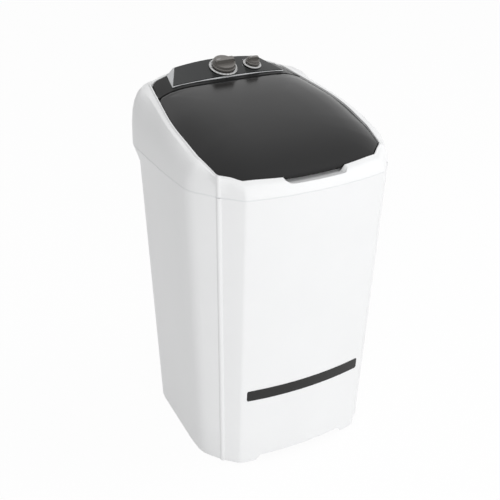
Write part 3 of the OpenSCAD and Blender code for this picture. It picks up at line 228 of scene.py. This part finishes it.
def dress_nodes():
    """Each CAD node gets its slot's material, and is welded and shaded smooth between creases."""
    for entry in frame["record"]["subparts"]:
        obj = nodes[entry["node"]]
        obj.data.materials.clear()
        obj.data.materials.append(materials[entry["material_slot"]])
        weld = obj.modifiers.new("weld", "WELD")
        weld.merge_threshold = weld_distance
        for polygon in obj.data.polygons:
            polygon.use_smooth = True
        split = obj.modifiers.new("split", "EDGE_SPLIT")
        split.split_angle = math.radians(crease_angle)


# Printed marks, laid on a CAD surface by casting each corner along the knob's axis
def dial(joint):
    """Centre and axes of a knob: x to the right, y up the face, z outward."""
    entry = next(j for j in frame["record"]["behaviour"]["joints"] if j["name"] == joint)
    z = -Vector(entry["axis"]).normalized()
    y = z.cross(Vector((1, 0, 0))).normalized()
    return Vector(entry["pos_m"]), (y.cross(z), y, z)


def marks(name, node, body, joint, outlines, material):
    """Thin printed shapes, one closed outline each, in millimetres on the knob's plane."""
    centre, (x, y, z) = dial(joint)
    source = nodes[node].data
    corners = [v.co.copy() for v in source.vertices]
    tree = BVHTree.FromPolygons(corners, [tuple(p.vertices) for p in source.polygons])
    shape = bmesh.new()
    for outline in outlines:
        above, below = [], []
        for u, v in outline:
            start = centre + x * (u / 1000) + y * (v / 1000) + z * cast_height
            hit = tree.ray_cast(start, -z)[0]
            above.append(shape.verts.new(hit + z * print_proud))
            below.append(shape.verts.new(hit - z * print_depth))
        shape.faces.new(above)
        shape.faces.new(list(reversed(below)))
        for k in range(len(above)):
            n = (k + 1) % len(above)
            shape.faces.new((above[k], below[k], below[n], above[n]))
    mesh = bpy.data.meshes.new(name)
    shape.to_mesh(mesh)
    shape.free()
    mesh.materials.append(materials[material])
    obj = bpy.data.objects.new(name, mesh)
    scene.collection.objects.link(obj)
    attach(obj, body)


def spoke(angle, r0, r1, width):
    """Corners of a short line along a radius; angles in degrees, anticlockwise from the right."""
    c, s = math.cos(math.radians(angle)), math.sin(math.radians(angle))
    corners = ((r0, -width / 2), (r1, -width / 2), (r1, width / 2), (r0, width / 2))
    return [(a * c - b * s, a * s + b * c) for a, b in corners]


def dot(angle, r, size):
    """Corners of a small disc at radius r."""
    cx, cy = r * math.cos(math.radians(angle)), r * math.sin(math.radians(angle))
    turns = [math.pi * k / 8 for k in range(16)]
    return [(cx + size * math.cos(t), cy + size * math.sin(t)) for t in turns]


def dial_marks():
    """Scale ticks on the bezels, pointer lines on the knobs and position dots on the panel."""
    widths = [major_tick if k % 3 == 0 else minor_tick for k in range(timer_tick_count)]
    timer_ticks = [
        spoke(zero_angle - timer_tick_step * k, *timer_ring, w) for k, w in enumerate(widths)]
    selector_ticks = [spoke(a, *selector_tick) for a in selector_stops]
    selector_dots = [dot(a, *selector_dot) for a in selector_stops]
    for name, node, body, joint, outlines, material, slot in (
            ("timer_scale", "timer_bezel", "washer_body", "timer_turn",
             timer_ticks, "print_dark", "dark_panel"),
            ("timer_pointer", "timer_knob", "timer", "timer_turn",
             [spoke(zero_angle, *timer_line)], "print_white", "console_light"),
            ("selector_scale", "selector_bezel", "washer_body", "selector_turn",
             selector_ticks, "print_dark", "dark_panel"),
            ("selector_dots", "console_fascia", "washer_body", "selector_turn",
             selector_dots, "print_white", "console_light"),
            ("selector_pointer", "selector_knob", "selector", "selector_turn",
             [spoke(zero_angle, *selector_line)], "print_white", "console_light")):
        marks(name, node, body, joint, outlines, material)


def seen(tree):
    """1 for camera, glossy and transmission rays."""
    path = add(tree, "ShaderNodeLightPath")
    first = add(tree, "ShaderNodeMath", operation="MAXIMUM")
    second = add(tree, "ShaderNodeMath", operation="MAXIMUM")
    tree.links.new(path.outputs["Is Camera Ray"], first.inputs[0])
    tree.links.new(path.outputs["Is Glossy Ray"], first.inputs[1])
    tree.links.new(first.outputs[0], second.inputs[0])
    tree.links.new(path.outputs["Is Transmission Ray"], second.inputs[1])
    return second.outputs[0]


def world():
    """White where it is seen, dimmer as a light."""
    scene.world = bpy.data.worlds.new("world")
    scene.world.use_nodes = True
    tree = scene.world.node_tree
    background = tree.nodes["Background"]
    background.inputs["Color"].default_value = (1, 1, 1, 1)
    strength = add(tree, "ShaderNodeMapRange")
    strength.inputs["To Min"].default_value = ambient
    strength.inputs["To Max"].default_value = 1
    tree.links.new(seen(tree), strength.inputs["Value"])
    tree.links.new(strength.outputs["Result"], background.inputs["Strength"])


def floor():
    """Pale ground that glows for the camera and for reflections, and takes light as a grey one."""
    mesh = bpy.data.meshes.new("floor")
    shape = bmesh.new()
    bmesh.ops.create_grid(shape, x_segments=2, y_segments=2, size=floor_half)
    shape.to_mesh(mesh)
    shape.free()
    obj = bpy.data.objects.new("floor", mesh)
    scene.collection.objects.link(obj)
    mat, tree, shader = new_material("floor")
    shader.inputs["Base Color"].default_value = (floor_grey, floor_grey, floor_grey, 1)
    shader.inputs["Roughness"].default_value = 0.9
    glow = add(tree, "ShaderNodeEmission")
    glow.inputs["Strength"].default_value = 1
    mix = add(tree, "ShaderNodeMixShader")
    share = add(tree, "ShaderNodeMath", operation="MULTIPLY")
    share.inputs[1].default_value = backdrop_share
    tree.links.new(seen(tree), share.inputs[0])
    tree.links.new(share.outputs[0], mix.inputs["Fac"])
    tree.links.new(shader.outputs[0], mix.inputs[1])
    tree.links.new(glow.outputs[0], mix.inputs[2])
    tree.links.new(mix.outputs[0], tree.nodes["Material Output"].inputs["Surface"])
    mesh.materials.append(mat)


def lamp(name, place, target, size, power):
    """Square lamp that leaves no reflection of itself."""
    data = bpy.data.lights.new(name, "AREA")
    data.shape = "SQUARE"
    data.size = size
    data.energy = power
    obj = bpy.data.objects.new(name, data)
    scene.collection.objects.link(obj)
    obj.location = place
    obj.rotation_euler = (Vector(target) - Vector(place)).to_track_quat("-Z", "Y").to_euler()
    obj.visible_glossy = False


scene.view_settings.view_transform = "Standard"
camera()
world()
floor()
for lamp_name, lamp_values in lamps.items():
    lamp(lamp_name, *lamp_values)
dress_nodes()
dial_marks()
